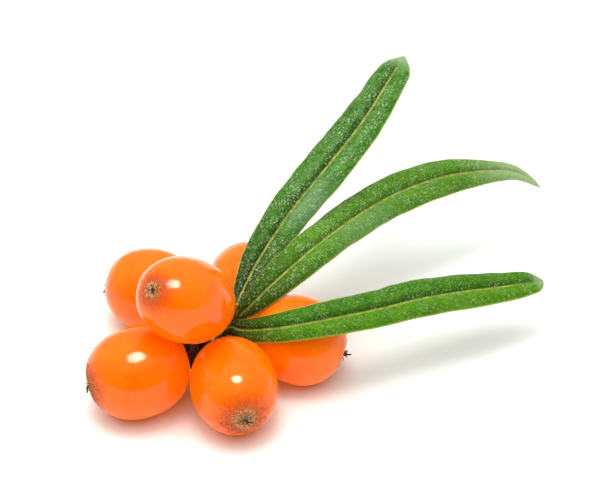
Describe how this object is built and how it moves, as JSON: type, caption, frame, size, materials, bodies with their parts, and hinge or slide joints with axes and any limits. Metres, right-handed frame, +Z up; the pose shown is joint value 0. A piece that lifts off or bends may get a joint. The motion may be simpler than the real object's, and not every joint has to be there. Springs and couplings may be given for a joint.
{
  "type": "sea buckthorn sprig",
  "caption": "Picked sprig of ripe orange sea buckthorn berries clustered round a short twig, with narrow green leaves fanning to one side.",
  "frame": {"origin": "middle of the sprig's bounding box, on the table it lies on", "axes": "+Z up from the table; +X to the right as pictured, the way the leaves point; +Y to the back, away from the viewer"},
  "size_m": [0.0478, 0.0378, 0.0227],
  "materials": {
    "berry_skin": "glossy",
    "stalk": "matte",
    "dried_style": "matte",
    "leaf": "satin",
    "bark": "matte",
    "green_shoot": "matte",
    "bud_scales": "matte"
  },
  "bodies": {
    "root": {"berry_front_left": "berry_skin", "stalk_front_left": "stalk", "style_front_left": "dried_style", "berry_front_middle": "berry_skin", "stalk_front_middle": "stalk", "style_front_middle": "dried_style", "berry_top": "berry_skin", "stalk_top": "stalk", "style_top": "dried_style", "berry_right": "berry_skin", "stalk_right": "stalk", "style_right": "dried_style", "berry_back_left": "berry_skin", "stalk_back_left": "stalk", "style_back_left": "dried_style", "berry_back_middle": "berry_skin", "stalk_back_middle": "stalk", "style_back_middle": "dried_style", "leaf_upper": "leaf", "leaf_middle": "leaf", "leaf_lower": "leaf", "twig": "bark", "leaf_shoot": "green_shoot", "bud": "bud_scales"}
  },
  "joints": []
}
